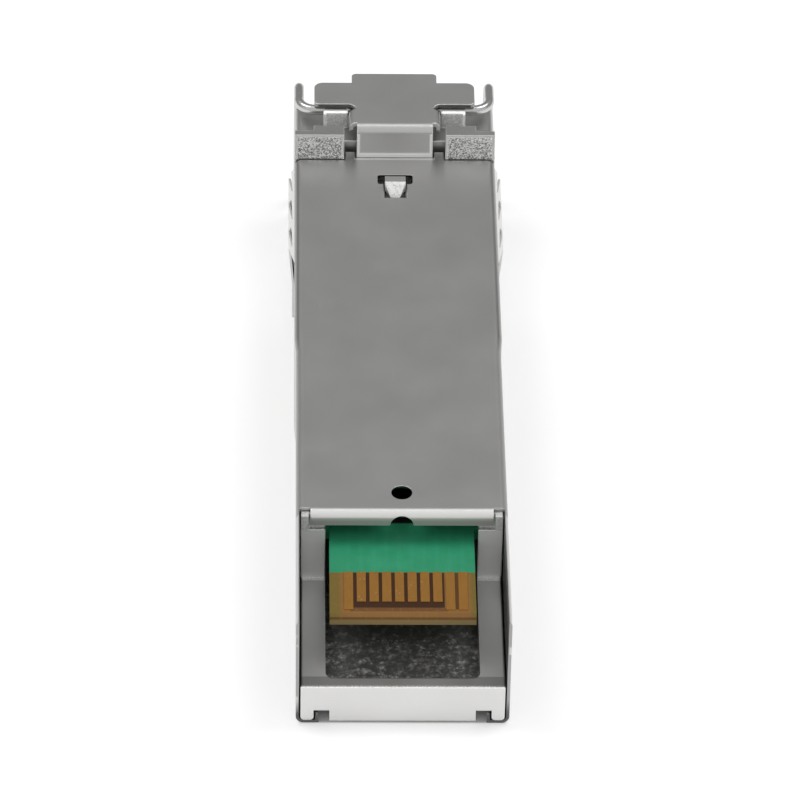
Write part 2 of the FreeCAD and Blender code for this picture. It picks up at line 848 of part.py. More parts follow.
def make_board():
    body = new_body("circuit_board")
    tongue_half = s.tongue_width / 2
    half = s.board_width / 2
    outline = [
        (-tongue_half, board_rear), (tongue_half, board_rear), (tongue_half, board_shoulder),
        (half, board_shoulder), (half, board_front), (-half, board_front),
        (-half, board_shoulder), (-tongue_half, board_shoulder),
    ]
    pad(body, "XY", board_floor, board_top, outline)
    bevel = s.board_bevel
    bevel_front = board_rear + bevel
    upper = [(board_rear, board_top - bevel), (bevel_front, board_top), (board_rear, board_top)]
    lower = [(board_rear, board_floor), (bevel_front, board_floor), (board_rear, board_floor + bevel)]
    pocket(body, "YZ", -tongue_half, tongue_half, upper, lower)
    return body


def make_contacts(name, floor, long_ones, shift):
    """Ten edge contacts. Those that make first are longer, and a shift staggers the two rows."""
    contacts = []
    start = board_rear + s.contact_start
    for number in range(10):
        margin = s.contact_long_margin if number in long_ones else s.contact_margin
        finish = board_rear + margin
        across = s.contact_pitch * (number - 4.5) + shift
        along = (start + finish) / 2
        title = f"{name}_{number + 1}"
        length = start - finish
        contacts.append(block(title, across, along, floor, s.contact_width, length, s.contact))
    return group(name, contacts)


# Stations of the optical subassemblies along their axes
nose_tip = port_back + s.nose_length
collar_rear = optics_front - s.collar_length
receptacle_rear = collar_rear - s.neck_length
can_rear = receptacle_rear - s.can_length
header_rear = can_rear - s.header_length
sleeve_front = nose_tip - s.sleeve_inset
sleeve_rear = sleeve_front - s.sleeve_length


def receptacle_outline(bore_steps):
    """Turned outline: nose, collar and neck outside, with a stepped bore inside."""
    nose = s.nose_diameter / 2
    collar = s.collar_diameter / 2
    neck = s.neck_diameter / 2
    outside = [
        (neck, receptacle_rear), (neck, collar_rear), (collar, collar_rear), (collar, optics_front),
        (nose, optics_front), (nose, nose_tip),
    ]
    return outside + bore_steps


def make_transmitter_optics():
    sleeve_bore = s.sleeve_diameter / 2 + s.sleeve_fit
    bore = s.ferrule_bore / 2
    beam = s.beam_bore / 2
    steps = [
        (sleeve_bore, nose_tip), (sleeve_bore, sleeve_rear), (beam, sleeve_rear), (beam, receptacle_rear),
    ]
    receptacle = turned("transmitter_receptacle", receptacle_outline(steps))
    sleeve = new_body("split_sleeve")
    outer = s.sleeve_diameter / 2
    pad(sleeve, "XZ", sleeve_rear, sleeve_front, Circle(ZERO, ZERO, outer), Circle(ZERO, ZERO, bore))
    slit_half = s.sleeve_slit / 2
    pocket(sleeve, "XZ", sleeve_rear, sleeve_front, rectangle(-slit_half, slit_half, ZERO, outer))
    return [receptacle, sleeve]


def make_receiver_optics():
    bore = s.ferrule_bore / 2
    beam = s.beam_bore / 2
    steps = [(bore, nose_tip), (bore, sleeve_rear), (beam, sleeve_rear), (beam, receptacle_rear)]
    return [turned("receiver_receptacle", receptacle_outline(steps))]


def make_can(name):
    can = s.can_diameter / 2
    header = s.header_diameter / 2
    outline = [
        (ZERO, header_rear), (header, header_rear), (header, can_rear), (can, can_rear),
        (can, receptacle_rear), (ZERO, receptacle_rear),
    ]
    body = turned(name, outline)
    pad(body, "XZ", header_rear - s.lead_length, header_rear, *lead_squares(ZERO, ZERO, s.lead_side / 2))
    return body


def lead_squares(across, up, half):
    """Four square leads about the optical axis."""
    offset = s.lead_circle / as_size(math.sqrt(2))
    loops = []
    for right, above in ((-1, -1), (1, -1), (1, 1), (-1, 1)):
        middle = across + offset * right
        level = up + offset * above
        loops.append(rectangle(middle - half, middle + half, level - half, level + half))
    return loops


def make_flex(name, side):
    """A flexible circuit from the leads of an optical can over to the board."""
    body = new_body(name)
    centre = axis_across * side
    half = s.flex_width / 2
    low_end = s.axis_height - half
    top = board_top + s.flex
    tail = board_front - s.flex_overlap
    bend = s.flex_bend
    strip = [
        (header_rear, low_end), (header_rear, top, bend), (tail, top), (tail, board_top),
        (header_rear - s.flex, board_top, bend - s.flex), (header_rear - s.flex, low_end),
    ]
    pad(body, "YZ", centre - half, centre + half, strip)
    hole = s.lead_side / 2 + s.sleeve_fit
    pocket(body, "XZ", header_rear - s.flex, header_rear, *lead_squares(centre, s.axis_height, hole))
    return body


def make_clamp():
    """A comb that drops over both necks and holds the collars against the bulkhead."""
    body = new_body("optics_clamp")
    half = s.optics_bay_width / 2 - s.clamp_fit
    clamp_rear = collar_rear - s.clamp_length
    pad(body, "XZ", clamp_rear, collar_rear, rectangle(-half, half, s.tray_floor, s.clamp_height))
    radius = s.neck_diameter / 2 + s.clamp_fit
    for side in (-1, 1):
        centre = axis_across * side
        slot = rectangle(centre - radius, centre + radius, s.tray_floor, s.axis_height)
        pocket(body, "XZ", clamp_rear, collar_rear, slot)
        pocket(body, "XZ", clamp_rear, collar_rear, Circle(centre, s.axis_height, radius))
    return body


def make_row(name, count, start_along, across, floor, length, width, height):
    """A row of equal small components along the board."""
    pieces = []
    for number in range(count):
        along = start_along - s.small_pitch * number
        pieces.append(block(f"{name}_{number + 1}", across, along, floor, length, width, height))
    return pieces


def make_components():
    chip_along = board_front - s.chip_behind
    driver = block("laser_driver", -s.chip_offset, chip_along, board_top, s.driver_side, s.driver_side,
                   s.driver_height)
    amplifier = block("limiting_amplifier", s.chip_offset, chip_along, board_top, s.amplifier_side,
                      s.amplifier_side, s.amplifier_height)
    controller = block("controller", ZERO, chip_along, board_floor - s.controller_height,
                       s.controller_side, s.controller_side, s.controller_height)
    row_along = chip_along - s.driver_side / 2 - s.small_pitch
    capacitors = []
    resistors = []
    for column in (-1.5, -0.5):
        capacitors += make_row(f"capacitor_{column}", 5, row_along, s.row_spacing * column, board_top,
                               s.small_length, s.small_width, s.capacitor_height)
    for column in (0.5, 1.5):
        resistors += make_row(f"resistor_{column}", 5, row_along, s.row_spacing * column, board_top,
                              s.small_length, s.small_width, s.resistor_height)
    below_along = chip_along - s.controller_side / 2 - s.tantalum_length
    tantalums = []
    beads = []
    bead_along = below_along - s.tantalum_length
    tantalum_low = board_floor - s.tantalum_height
    bead_low = board_floor - s.bead_height
    for side in (-1, 1):
        across = s.row_spacing * side
        tantalums.append(block(f"tantalum_{side}", across, below_along, tantalum_low,
                               s.tantalum_width, s.tantalum_length, s.tantalum_height))
        beads.append(block(f"bead_{side}", across, bead_along, bead_low,
                           s.bead_width, s.bead_length, s.bead_height))
    groups = [group("chip_capacitors", capacitors), group("chip_resistors", resistors)]
    groups += [group("bulk_capacitors", tantalums), group("ferrite_beads", beads)]
    return [driver, amplifier, controller] + groups


nodes = [make_housing(), make_shell(), make_lever(), make_lever_spring(), make_bail()]
nodes += [make_ground_spring("ground_spring_left", -1), make_ground_spring("ground_spring_right", 1)]
nodes += [make_board()]
nodes += [make_contacts("edge_contacts_latch_side", board_top, (0, 8, 9), s.contact_shift)]
label_side = board_floor - s.contact
nodes += [make_contacts("edge_contacts_label_side", label_side, (0, 3, 6, 9), -s.contact_shift)]
for optics, side in ((make_transmitter_optics(), -1), (make_receiver_optics(), 1)):
    for piece in optics:
        place(piece, axis_across * side, ZERO, s.axis_height)
    nodes += optics
for can_name, side in (("laser_can", -1), ("photodiode_can", 1)):
    can = make_can(can_name)
    place(can, axis_across * side, ZERO, s.axis_height)
    nodes += [can]
nodes += [make_flex("transmitter_flex", -1), make_flex("receiver_flex", 1), make_clamp()]
nodes += make_components()

doc.recompute()
for thing in doc.Objects:
    if "Invalid" in thing.State or "Error" in thing.State:
        raise ValueError(f"{thing.Label} failed: {thing.State}")
for node in nodes:
    if node.Shape.isNull() or not node.Shape.isValid():
        raise ValueError(f"{node.Label} has no valid shape")

os.makedirs("parts", exist_ok=True)
for node in nodes:
    node.Shape.exportStep(f"parts/{node.Label}.step")
    box = node.Shape.BoundBox
    print(f"{node.Label}: {len(node.Shape.Solids)} solids, {node.Shape.Volume:.2f} mm3,",
          f"{box.XLength:.2f} x {box.YLength:.2f} x {box.ZLength:.2f}")
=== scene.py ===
# %% [markdown]
# The object is a small pluggable network module: a zinc casting, a folded sheet shell, a latch that a
# wire bail works, and a circuit board whose edge contacts show in the open end. The exact shapes come
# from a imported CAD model, so this lesson loads that model first and then gives every surface its finish.

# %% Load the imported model
import math
from types import SimpleNamespace

import bmesh
import bpy
from mathutils import Matrix, Vector


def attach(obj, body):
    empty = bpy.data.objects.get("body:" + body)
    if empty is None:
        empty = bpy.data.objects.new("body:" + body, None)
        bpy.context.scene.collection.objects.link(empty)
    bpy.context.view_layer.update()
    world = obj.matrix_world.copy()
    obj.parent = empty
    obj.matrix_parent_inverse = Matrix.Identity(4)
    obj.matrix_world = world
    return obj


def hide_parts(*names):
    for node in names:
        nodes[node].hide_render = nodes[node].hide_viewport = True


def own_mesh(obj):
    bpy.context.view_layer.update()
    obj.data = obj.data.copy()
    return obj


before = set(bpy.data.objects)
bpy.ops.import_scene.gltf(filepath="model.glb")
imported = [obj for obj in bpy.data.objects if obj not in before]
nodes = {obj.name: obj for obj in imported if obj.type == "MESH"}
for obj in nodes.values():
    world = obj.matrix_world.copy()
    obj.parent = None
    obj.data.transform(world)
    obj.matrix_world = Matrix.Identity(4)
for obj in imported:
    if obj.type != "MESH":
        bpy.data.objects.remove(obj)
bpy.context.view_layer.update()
scene = bpy.context.scene
scene.view_settings.view_transform = "Standard"

# %% [markdown]
# Every length on the real module is a few millimetres, so it is easier to think in millimetres than in
# metres. One helper turns millimetres into Blender's metres.

# %% A helper for lengths
MM = 0.001


def mm(*lengths):
    return Vector([length * MM for length in lengths])


print("one millimetre is", MM, "metres")

# %% [markdown]
# The photograph was taken with a long lens from above the open end. The camera's place can be worked
# out from a target point, a distance and three angles. A matrix built from the camera's own right, up
# and backward directions is used, because it also holds the small roll of the picture.

# %% The camera
AIM = mm(0.157, -17.835, 4.0)
DISTANCE = 393.24 * MM
ELEVATION = math.radians(39.285)
SWING = math.radians(-1.501)
ROLL = math.radians(1.14)
SENSOR_WIDTH = 36.0
FOCAL_LENGTH = 268.82
NEAREST_SEEN = 0.01

forward = Vector((-math.sin(SWING) * math.cos(ELEVATION), math.cos(SWING) * math.cos(ELEVATION),
                  -math.sin(ELEVATION)))
level_right = forward.cross(Vector((0, 0, 1))).normalized()
level_up = level_right.cross(forward)
right = level_right * math.cos(ROLL) + level_up * math.sin(ROLL)
up = level_up * math.cos(ROLL) - level_right * math.sin(ROLL)
turned = Matrix((right, up, -forward)).transposed().to_4x4()

bpy.ops.object.camera_add()
camera = bpy.context.object
camera.data.sensor_width = SENSOR_WIDTH
camera.data.lens = FOCAL_LENGTH
camera.data.clip_start = NEAREST_SEEN
camera.matrix_world = Matrix.Translation(AIM - forward * DISTANCE) @ turned
scene.camera = camera
print("camera at", [round(value, 4) for value in camera.location])

# %% [markdown]
# A surface is described by numbers that change from place to place: how bright, how rough, how bumpy.
# In Blender each step of such a sum is a node. A small class wraps a node's output, so that a sum can be
# written as plain arithmetic and the nodes appear by themselves.


# %% Arithmetic on surfaces
class Field:
    """A value that changes over a surface: one output socket in a node tree."""

    def __init__(self, tree, socket):
        self.tree = tree
        self.socket = socket

    def node(self, kind, settings=None, inputs=None, output=0):
        """Adds any node. Settings are set first, then each input gets a value or a link."""
        made = self.tree.nodes.new(kind)
        for name, value in (settings or {}).items():
            if name == "stops":
                while len(made.color_ramp.elements) < len(value):
                    made.color_ramp.elements.new(1.0)
                for element, (position, colour) in zip(made.color_ramp.elements, value):
                    element.position = position
                    element.color = colour
            else:
                setattr(made, name, value)
        for name, value in (inputs or {}).items():
            if isinstance(value, Field):
                self.tree.links.new(value.socket, made.inputs[name])
            else:
                made.inputs[name].default_value = value
        return Field(self.tree, made.outputs[output])

    def sum(self, operation, first, second=0.0):
        return self.node("ShaderNodeMath", {"operation": operation}, {0: first, 1: second})

    def __add__(self, other):
        return self.sum("ADD", self, other)

    def __sub__(self, other):
        return self.sum("SUBTRACT", self, other)

    def __mul__(self, other):
        return self.sum("MULTIPLY", self, other)

    def __rsub__(self, other):
        return self.sum("SUBTRACT", other, self)

    def __gt__(self, other):
        return self.sum("GREATER_THAN", self, other)

    __radd__ = __add__
    __rmul__ = __mul__

    def between(self, low, high):
        """Rises from 0 to 1 while this value goes from low to high."""
        inputs = {"Value": self, "From Min": low, "From Max": high}
        return self.node("ShaderNodeMapRange", {"interpolation_type": "SMOOTHSTEP"}, inputs)

    def past(self, station, soft=0.02):
        """1 beyond a station and 0 before it, with a soft border on both sides of it."""
        return self.between(station - soft, station + soft)

    def short_of(self, station, soft=0.02):
        """1 before a station and 0 beyond it."""
        return 1 - self.past(station, soft)

    def within(self, low, high, soft=0.02):
        """1 from low to high and 0 outside, with soft borders."""
        return self.past(low, soft) * self.short_of(high, soft)

    def size(self):
        return self.sum("ABSOLUTE", self)

    def joined(self, other):
        """The larger of two masks, which joins their zones."""
        return self.sum("MAXIMUM", self, other)

    def folded(self, width):
        """Runs up and down between 0 and a width, for things that repeat."""
        return self.sum("PINGPONG", self, width)

    def blend(self, below, above):
        """Mixes two colours with this value as the share of the second one."""
        return self.node("ShaderNodeMix", {"data_type": "RGBA"}, {0: self, 6: below, 7: above}, 2)

    def turn(self, below, above):
        """Mixes two directions with this value as the share of the second one."""
        return self.node("ShaderNodeMix", {"data_type": "VECTOR"}, {0: self, 4: below, 5: above}, 1)

    def noise(self, scale, detail=2.0, roughness=0.5):
        """Cloudy noise with this many waves in a millimetre."""
        inputs = {"Vector": self, "Scale": scale, "Detail": detail, "Roughness": roughness}
        return self.node("ShaderNodeTexNoise", {}, inputs, "Fac")

    def grains(self, scale):
        """Small cells, each with its own even value from 0 to 1, with this many cells in a millimetre."""
        cells = self.node("ShaderNodeTexVoronoi", {}, {"Vector": self, "Scale": scale}, "Color")
        return cells.node("ShaderNodeSeparateColor", {}, {"Color": cells}, 0)

    def axis(self, name):
        return self.node("ShaderNodeSeparateXYZ", {}, {"Vector": self}, name)

    def axes(self):
        return self.axis("X"), self.axis("Y"), self.axis("Z")

    def stretched(self, x, y, z):
        return self.node("ShaderNodeMapping", {}, {"Vector": self, "Scale": (x, y, z)})


print("the arithmetic class is ready")

# %% [markdown]
# Every finish starts in the same way: a material, its shader, and the place on the object as a field in
# millimetres. At the end the sums are fed to the shader's inputs.


# %% Starting and feeding a finish
def place_on(tree):
    """The place on the object in millimetres."""
    place = Field(tree, tree.nodes.new("ShaderNodeTexCoord").outputs["Object"])
    return place.stretched(1 / MM, 1 / MM, 1 / MM)


def start_finish(name):
    """A new material, its shader, and the place on the object."""
    material = bpy.data.materials.new(name)
    material.use_nodes = True
    tree = material.node_tree
    return material, tree.nodes["Principled BSDF"], place_on(tree)


def feed(shader, **inputs):
    """Links fields to the shader, or sets plain numbers and colours on it."""
    for name, value in inputs.items():
        plug = shader.inputs[name.replace("_", " ")]
        if isinstance(value, Field):
            value.tree.links.new(value.socket, plug)
        else:
            plug.default_value = value


def grey(level):
    return (level, level, level, 1.0)


def warm_grey(level, blue=0.978):
    """A grey whose blue is a touch weaker, as on nickel and zinc."""
    return level.node("ShaderNodeCombineColor", {}, {0: level, 1: level * 0.995, 2: level * blue})


def two_tones(share, tone):
    """A colour that goes from four fifths of a tone up to the full tone."""
    darker = tuple(channel * 0.80 for channel in tone) + (1.0,)
    return share.blend(darker, tone + (1.0,))


print("shader helpers are ready")

# %% [markdown]
# A sharp CAD edge never catches light, but a real edge does, because stamping, casting and plating all
# leave a tiny round. The Bevel node bends the surface's direction near an edge, which gives that glint
# without touching the shape. Comparing the bent direction with the true one also tells where edges are.

# %% Rounded edges in the shading
# Edges that carry a painted highlight have their direction turned half upwards, towards the lamps
LAMPWARD_EDGE = (0.14, -0.33, 0.93)


def true_normal(place):
    return place.node("ShaderNodeNewGeometry", {}, {}, "True Normal")


def rounded(place, radius):
    """The surface's direction with edges rounded by a radius in millimetres, and a mask of the edges."""
    normal = place.node("ShaderNodeBevel", {"samples": 6}, {"Radius": radius * MM})
    inputs = {0: normal, 1: true_normal(place)}
    likeness = place.node("ShaderNodeVectorMath", {"operation": "DOT_PRODUCT"}, inputs, "Value")
    return normal, (1 - likeness).between(0.004, 0.12)


def facing_open_end(place):
    """1 on faces that look towards the open end."""
    return (0 - true_normal(place).axis("Y")).past(0.6, 0.1)


def facing_up(place):
    """1 on level faces that look up."""
    return true_normal(place).axis("Z").past(0.8, 0.1)


def bumped(height, depth, normal):
    """Raises the surface by a height field; depth in millimetres is the height of 1."""
    inputs = {"Strength": 1.0, "Distance": depth * MM, "Height": height, "Normal": normal}
    return height.node("ShaderNodeBump", {}, inputs)


print("edge helpers are ready")

# %% [markdown]
# The shell, the lever and the springs are nickel-plated sheet. Rolled sheet is nearly even in tone, with
# a very fine grain, faint clouds from handling and a few hairline marks. Clouds and grain change the
# colour, all three change the roughness, and grain and hairlines make a shallow bump. One function mixes
# this plain sheet, so that the finishes of single pieces can build on it.

# %% Plated sheet
SHEET_RELIEF = 0.004


def plain_sheet(place, tone, gloss, edges):
    """Tone, roughness and relief of plain plated sheet."""
    clouds = place.noise(0.22, 3.0, 0.6)
    grain = place.noise(16.0, 3.0, 0.7)
    hairs = place.stretched(1.0, 0.06, 1.0).noise(9.0, 2.0, 0.6).past(0.70, 0.04)
    # The edges get a painted highlight in the tone, on top of the rounded direction
    level = tone * (0.95 + 0.08 * clouds + 0.05 * (grain - 0.5)) + 0.16 * edges
    rough = gloss + 0.10 * (clouds - 0.5) + 0.08 * (grain - 0.5) + 0.03 * hairs
    return level, rough, grain + 0.4 * hairs


def plated_sheet(name, tone, gloss, edge, metal):
    material, shader, place = start_finish(name)
    normal, edges = rounded(place, edge)
    level, rough, relief = plain_sheet(place, tone, gloss, edges)
    feed(shader, Base_Color=warm_grey(level), Metallic=metal, Roughness=rough,
         Normal=bumped(relief, SHEET_RELIEF, normal))
    return material


# The springs' sheet is painted much paler than the shell's, as painted light, so that they read pale
# against the white floor
spring_finish = plated_sheet("spring_sheet", tone=0.90, gloss=0.40, edge=0.04, metal=0.45)
clamp_finish = plated_sheet("clamp_sheet", tone=0.60, gloss=0.36, edge=0.06, metal=1.0)
print("plated sheet finishes:", spring_finish.name, clamp_finish.name)

# %% [markdown]
# The shell's finish changes from zone to zone. The inner sides of its flanks, darker lower down, and the
# ends of its hems carry painted shade, and its cut end is dull and darker, with small bright nicks. The
# lip was rubbed dull by the tool that folded it and is a touch darker, while the bend above it carries a
# painted highlight. The folds beside the roof and the cut edges of the window and vent carry painted
# shade, the edge of the notch behind the latch lever carries a painted highlight, and each zone is a
# product of simple steps along the axes.

# %% Zones of the shell
# Stations along the module from the latch shoulder, with the open end on the minus side
SHELL_END = -44.87
BAY_EDGE = -34.65
LIP_FACE = -34.53
LIP_BEND = -34.275
VENT_LENGTH = (-33.4, -31.8)
WINDOW_LENGTH = (-2.4, 1.2)
NOTCH_LENGTH = (2.42, 2.75)
# Distances from the middle
LIP_HALF = 5.81
VENT_HALF = 0.82
WINDOW_HALF = 1.32
NOTCH_HALF = 2.75
FOLD_HALF = 6.52
FLANK_HALF = 6.56
# Heights above the label face
HEM_TOP = 1.4
BAY_FLOOR = 2.9
SHADE_TOP = 6.5
LIP_HEIGHT = (7.0, 8.05)
BEND_HEIGHT = 7.96
FOLD_HEIGHT = 8.05
UNDER_ROOF = 8.445


def shell_zones(place):
    across, along, height = place.axes()
    half = across.size()
    outwards = true_normal(place).axis("X") * across
    scuffs = place.stretched(0.2, 1.0, 0.7).noise(1.3, 1.0, 0.5).past(0.61, 0.03)
    bay = along.short_of(BAY_EDGE, 0.03)
    end_cut = along.short_of(SHELL_END, 0.01)
    lip_width = half.short_of(LIP_HALF)
    below_roof = height.short_of(UNDER_ROOF, 0.025)
    inside = bay * outwards.short_of(-3.5, 0.5) * height.past(BAY_FLOOR, 0.1)
    window = along.within(*WINDOW_LENGTH) * half.short_of(WINDOW_HALF)
    vent = along.within(*VENT_LENGTH) * half.short_of(VENT_HALF)
    # Painted shade on the hem ends, the inner sides of the flanks, the cut edges of the window and vent
    # and the folds beside the roof; painted highlights on the lip's bend and the notch's edge
    return SimpleNamespace(
        end_cut=end_cut,
        hem_end_shade=end_cut * height.short_of(HEM_TOP, 0.8),
        inner_side_shade=inside * (1 - 0.6 * height.past(SHADE_TOP, 0.9)),
        lip=along.short_of(LIP_FACE, 0.03) * lip_width * height.within(*LIP_HEIGHT, 0.06),
        bend=along.short_of(LIP_BEND, 0.125) * lip_width * height.past(BEND_HEIGHT, 0.24),
        opening_shade=window.joined(vent) * below_roof,
        roof_fold_shade=half.past(FOLD_HALF, 0.10) * height.past(FOLD_HEIGHT, 0.10) * (1 - bay),
        nicks=bay * half.past(FLANK_HALF) * outwards.short_of(2.5, 0.5) * scuffs,
        notch_highlight=along.within(*NOTCH_LENGTH) * half.short_of(NOTCH_HALF))


print("the shell's zones are described")

# %% [markdown]
# Each zone then adds to the plain sheet's tone or takes a share of it away.


# %% Shell
def shell_sheet(name):
    material, shader, place = start_finish(name)
    normal, edges = rounded(place, 0.06)
    level, rough, relief = plain_sheet(place, 0.60, 0.36, edges)
    zone = shell_zones(place)
    # The nicks are wear; the notch's edge and the lip's bend get painted highlights, and the hem ends,
    # inner sides, folds and openings get painted shade
    level = level + 0.40 * zone.nicks + 0.30 * zone.notch_highlight - 0.16 * zone.lip + 0.32 * zone.bend
    level = level * (1 - 0.38 * zone.end_cut) * (1 - 0.45 * zone.roof_fold_shade) * (1 - 0.60 * zone.hem_end_shade)
    level = level * (1 - 0.80 * zone.inner_side_shade) * (1 - 0.75 * zone.opening_shade)
    dull = zone.lip.joined(zone.hem_end_shade).joined(zone.inner_side_shade)
    metal = 1 - 0.55 * zone.lip.joined(zone.bend)
    feed(shader, Base_Color=warm_grey(level), Metallic=metal, Roughness=rough + 0.22 * dull,
         Normal=bumped(relief, SHEET_RELIEF, normal))
    return material


shell_finish = shell_sheet("shell_sheet")
print("shell finish:", shell_finish.name)

# %% [markdown]
# The lever is the same sheet, but tumbled before plating, so its edges are rounder, with a painted
# highlight on them.
# The border of its upright web carries a painted highlight and the web a touch of painted light, the edge
# of its wing carries painted shade, and the arm under the shell is painted dark as painted shade. The ramp
# of the locking post is ground, which leaves it bright and grainy.

# %% Latch lever
RAMP_START = -0.59
RAMP_FOOT = 8.23
ARM_LENGTH = (-2.8, 1.0)
ARM_TOP = 8.195
WEB_LENGTH = (2.70, 3.00)
WEB_HEIGHT = (8.45, 10.4)
WEB_SIDE = 2.41
WEB_FOOT = 8.77
WING_START = 4.85
WING_FOOT = 10.61


def lever_sheet(name):
    material, shader, place = start_finish(name)
    normal, edges = rounded(place, 0.13)
    level, rough, relief = plain_sheet(place, 0.62, 0.36, edges)
    across, along, height = place.axes()
    grains = place.grains(13.0)
    ramp = along.short_of(RAMP_START, 0.03) * height.past(RAMP_FOOT, 0.03)
    # Painted shade on the arm where it lies under the shell
    under = along.within(*ARM_LENGTH) * height.short_of(ARM_TOP, 0.025)
    web = along.within(*WEB_LENGTH) * height.within(*WEB_HEIGHT, 0.05)
    # A painted highlight along the sides and foot of the web
    web_border_highlight = web * across.size().past(WEB_SIDE, 0.11).joined(height.short_of(WEB_FOOT, 0.15))
    # Painted shade on the edge of the wing that faces the open end
    wing_edge = along.past(WING_START, 0.05) * height.past(WING_FOOT, 0.01) * facing_open_end(place)
    level = level + ramp * (0.50 * grains + 0.12) + 0.12 * edges + 0.04 * web + 0.40 * web_border_highlight
    level = level * (1 - 0.55 * wing_edge) * (1 - 0.80 * under)
    relief = relief + 4.0 * ramp * grains
    metal = 1 - 0.4 * web_border_highlight - 0.6 * ramp
    feed(shader, Base_Color=warm_grey(level), Metallic=metal, Roughness=rough + 0.18 * web,
         Normal=bumped(relief, SHEET_RELIEF, (0.8 * web_border_highlight).turn(normal, LAMPWARD_EDGE)))
    return material


lever_finish = lever_sheet("lever_sheet")
print("lever finish:", lever_finish.name)

# %% [markdown]
# The housing is cast in zinc and then plated. Where the mould was sand-blasted, on the stop blocks, the
# lugs and beside the shell's lip, the skin is coarse and sparkles in small specks. The level faces are
# finer. The floor of the open tray is dull and dark, with pale specks of dust that gather at the end.

# %% Zones of the casting
# The latch end: stop blocks, lugs and the level face between them
BLOCK_FACE = (2.3, 2.7)
BLOCK_FOOT = 8.525
BLOCK_INNER = 3.60
BLOCK_OUTER = 6.59
LUG_FACE = (5.1, 5.4)
LUG_FOOT = 9.24
LUG_OUTER = 4.65
EDGE_HEIGHT = 10.34
HEAD_START = 2.45
HEAD_HEIGHT = 8.95
LATCH_LENGTH = (2.3, 7.0)
# Beside and under the shell's lip
LIP_SIDE = -33.85
STRIP_INNER = 5.86
STRIP_FOOT = 7.085
LEDGE_HEIGHT = (7.0, 7.13)
LEDGE_HALF = (4.9, 6.3)
JAMB_FACE = (-34.7, -34.5)
JAMB_HEIGHT = (3.2, 7.1)
FOOT_LENGTH = (-34.9, -34.6)
FOOT_HEIGHT = (3.0, 3.25)
# The open tray and the end wall
TRAY_LENGTH = (-44.2, -33.0)
TRAY_HALF = 4.92
TRAY_RIM = 3.06
BRINK_LENGTH = (-44.6, -34.7)
BRINK_HALF = (4.7, 5.1)
BRINK_HEIGHT = (2.9, 3.2)
END_FACE = -44.75
END_LEDGE = -44.05
LEDGE_TOP = 2.95
CREST = -44.85
CREST_HEIGHT = (2.98, 3.2)


def cast_zones(place, edges):
    across, along, height = place.axes()
    half = across.size()
    front = facing_open_end(place)
    level_face = facing_up(place)
    above_blocks = height.past(BLOCK_FOOT, 0.025)
    top_edge = height.past(EDGE_HEIGHT, 0.04)
    beside_lip = along.short_of(LIP_SIDE, 0.05)
    blocks = front * along.within(*BLOCK_FACE) * above_blocks
    lugs = front * along.within(*LUG_FACE) * height.past(LUG_FOOT)
    strips = beside_lip * half.past(STRIP_INNER) * height.past(STRIP_FOOT, 0.035)
    block_edge = top_edge.joined(half.past(BLOCK_OUTER, 0.03)).joined(half.short_of(BLOCK_INNER, 0.04))
    lug_edge = top_edge.joined(half.past(LUG_OUTER, 0.03))
    # A painted highlight along the top and side edges of the stop blocks and lugs
    edge_highlight = blocks * block_edge + lugs * lug_edge
    return SimpleNamespace(
        blocks=blocks, lugs=lugs, strips=strips, edge_highlight=edge_highlight,
        # Painted highlights on these edges and on the rounded edges of the strips and the latch end
        rim_highlight=edge_highlight.joined(edges * strips.joined(along.within(*LATCH_LENGTH) * above_blocks)),
        pale=lugs.joined(0.8 * strips),
        head=level_face * along.past(HEAD_START, 0.05) * height.past(HEAD_HEIGHT, 0.05),
        ledge=beside_lip * height.within(*LEDGE_HEIGHT) * half.within(*LEDGE_HALF),
        jambs=front * along.within(*JAMB_FACE) * height.within(*JAMB_HEIGHT, 0.1),
        foot_line=along.within(*FOOT_LENGTH, 0.06) * height.within(*FOOT_HEIGHT),
        tray=half.short_of(TRAY_HALF) * along.within(*TRAY_LENGTH) * height.short_of(TRAY_RIM),
        brink=half.within(*BRINK_HALF) * along.within(*BRINK_LENGTH) * height.within(*BRINK_HEIGHT),
        end_face=front * along.short_of(END_FACE, 0.05),
        end_ledge=level_face * along.short_of(END_LEDGE, 0.05) * height.past(LEDGE_TOP, 0.05),
        crest=along.short_of(CREST, 0.05) * height.within(*CREST_HEIGHT))


print("the casting's zones are described")

# %% [markdown]
# The tray is painted dark by the board, as painted shade where the board overhangs it, and lighter towards
# the end, where clouds of pale dust gather. It has a tone of its own, which takes the place of the skin's
# tone there.

# %% Tray
DUST_AND_SHADE_START = -38.4


def tray_tone(place):
    rise = place.axis("Y").short_of(DUST_AND_SHADE_START, 1.2)
    mottle = place.noise(2.0, 5.0, 0.72).past(0.55, 0.19)
    dust = (place.grains(8.5) > 0.84) * place.noise(1.0, 3.0, 0.6).past(0.52, 0.08)
    # The floor is painted lighter towards the end as painted light, and the mottled clouds and the dust
    # grow there too
    floor_tone = 0.09 + 0.08 * rise
    return floor_tone + (0.22 + 0.44 * rise) * mottle * mottle + (0.14 + 0.22 * rise) * dust


print("the tray's tone is described")

# %% [markdown]
# Now the casting's own finish: the tone of the skin, then the tray, then roughness and relief. The edges
# of the stop blocks and lugs carry a painted highlight, and there the surface's direction is turned up
# towards the lamps, so that they shine.

# %% Cast zinc
CAST_RELIEF = 0.022


